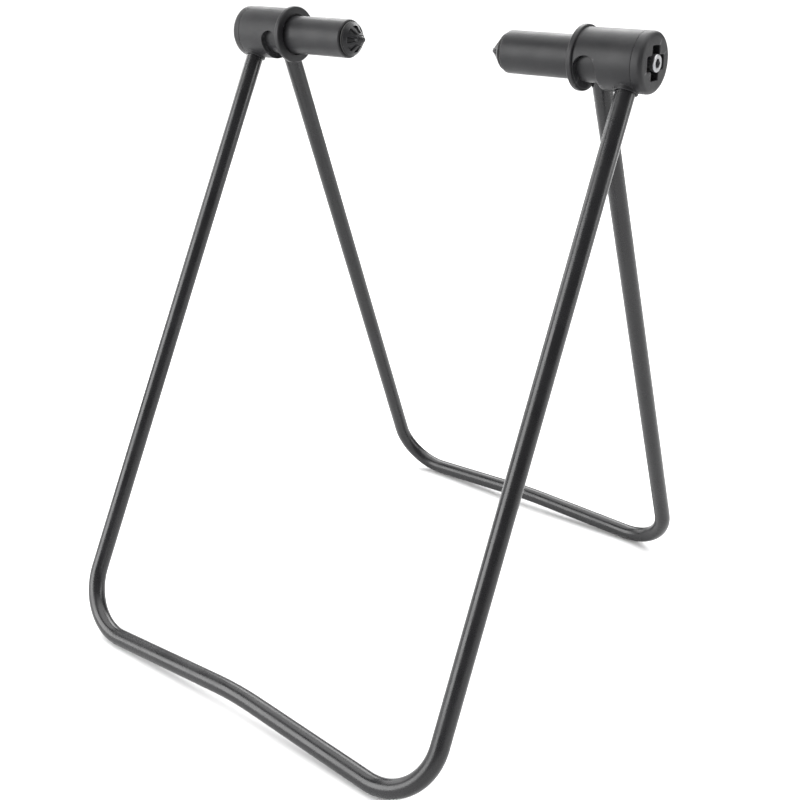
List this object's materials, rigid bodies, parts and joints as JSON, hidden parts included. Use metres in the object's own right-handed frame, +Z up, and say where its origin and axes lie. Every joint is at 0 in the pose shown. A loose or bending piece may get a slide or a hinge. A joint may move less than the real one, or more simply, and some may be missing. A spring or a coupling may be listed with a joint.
{
  "type": "folding bike repair stand",
  "caption": "Folding bike stand: two nested U-shaped tube frames hinged by moulded knuckles, with pointed noses that hold a wheel hub between them.",
  "frame": {"origin": "on the floor, under the middle of the open stand's bounding box", "axes": "+X along the hinge towards the right knuckle, the wide front frame leans towards -Y, +Z up"},
  "size_m": [0.329, 0.368, 0.421],
  "materials": {
    "black_paint": "satin black paint on steel tube, with long soft highlights",
    "black_plastic": "moulded charcoal-black plastic, satin",
    "nose_plastic": "moulded black plastic, slightly worn at the ribs",
    "ring_rubber": "matt black rubber",
    "zinc_steel": "bright zinc-plated steel",
    "white_nylon": "natural nylon"
  },
  "bodies": {
    "front": {"front_frame": "black_paint", "housing_left": "black_plastic", "end_cap_left": "black_plastic", "head_washer_left": "zinc_steel", "thrust_washer_left": "white_nylon", "housing_right": "black_plastic", "end_cap_right": "black_plastic", "head_washer_right": "zinc_steel", "thrust_washer_right": "white_nylon"},
    "rear": {"rear_frame": "black_paint", "barrel_left": "black_plastic", "nose_cone_left": "nose_plastic", "nose_ring_left": "ring_rubber", "pivot_bolt_left": "zinc_steel", "nose_nut_left": "zinc_steel", "barrel_right": "black_plastic", "nose_cone_right": "nose_plastic", "nose_ring_right": "ring_rubber", "pivot_bolt_right": "zinc_steel", "nose_nut_right": "zinc_steel"}
  },
  "joints": [
    {"name": "fold", "type": "hinge", "parent": "front", "child": "rear", "pos_m": [0, 0.02992, 0.402], "axis": [1, 0, 0], "range_deg": [-100, 0]}
  ]
}
